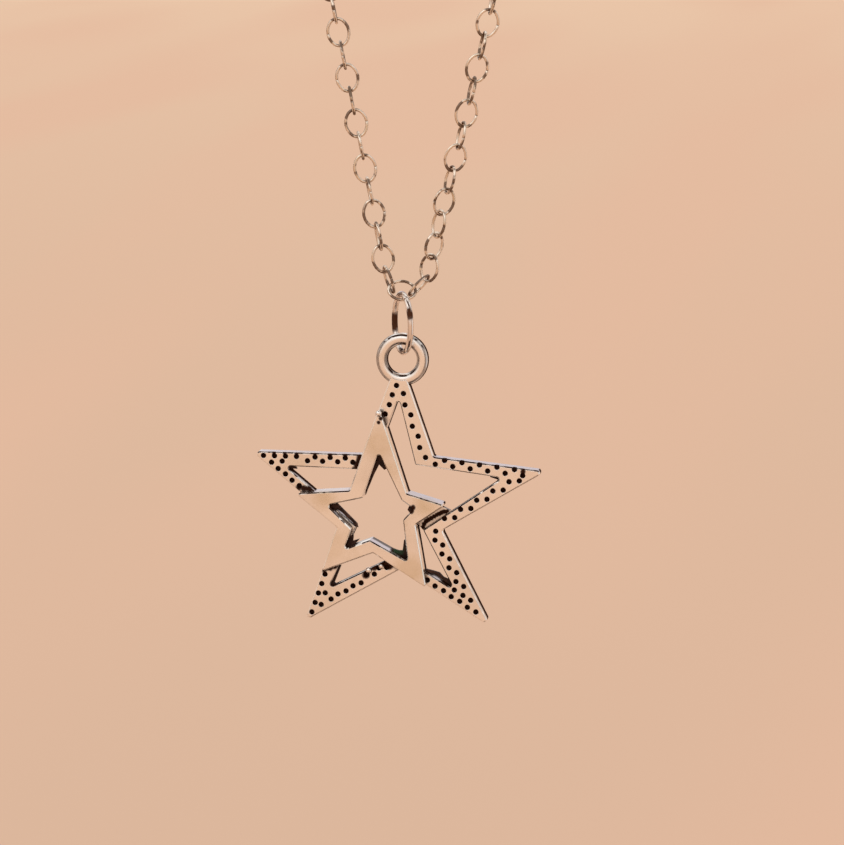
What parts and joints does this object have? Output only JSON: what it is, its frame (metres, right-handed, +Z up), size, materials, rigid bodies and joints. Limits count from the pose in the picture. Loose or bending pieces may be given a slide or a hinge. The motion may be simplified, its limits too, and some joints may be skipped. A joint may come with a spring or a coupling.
{
  "type": "star pendant necklace",
  "caption": "Fine cable chain necklace in its worn form, with a cast pendant: a small plain open star in front of a large pitted open star, hung on a jump ring.",
  "frame": {"origin": "the nape: the top of the chain's loop behind the neck, where the necklace hangs", "axes": "+Z up as worn, -Y out of the wearer's chest towards the viewer, +X to the viewer's right"},
  "size_m": [0.0981, 0.1068, 0.2124],
  "materials": {
    "cast_metal": "silver-plated casting, polished, with dark pits and faint yellow tarnish",
    "ring_metal": "polished silver-tone wire",
    "chain_metal": "polished silver-tone wire with dark antiquing in the corners",
    "clasp_metal": "polished silver-tone casting"
  },
  "bodies": {
    "chain": {"chain_left": "chain_metal", "chain_right": "chain_metal", "lobster_clasp": "clasp_metal", "clasp_ring": "ring_metal", "end_ring": "ring_metal"},
    "jump_ring": {"jump_ring": "ring_metal"},
    "pendant": {"star_pendant": "cast_metal"}
  },
  "joints": [
    {"name": "ring_swing", "type": "hinge", "parent": "chain", "child": "jump_ring", "pos_m": [-0.0009, -0.10118, -0.17761], "axis": [1, 0, 0], "range_deg": [-30, 30]},
    {"name": "pendant_swing", "type": "hinge", "parent": "jump_ring", "child": "pendant", "pos_m": [-0.0009, -0.10118, -0.18282], "axis": [0, 1, 0], "range_deg": [-45, 45]}
  ]
}
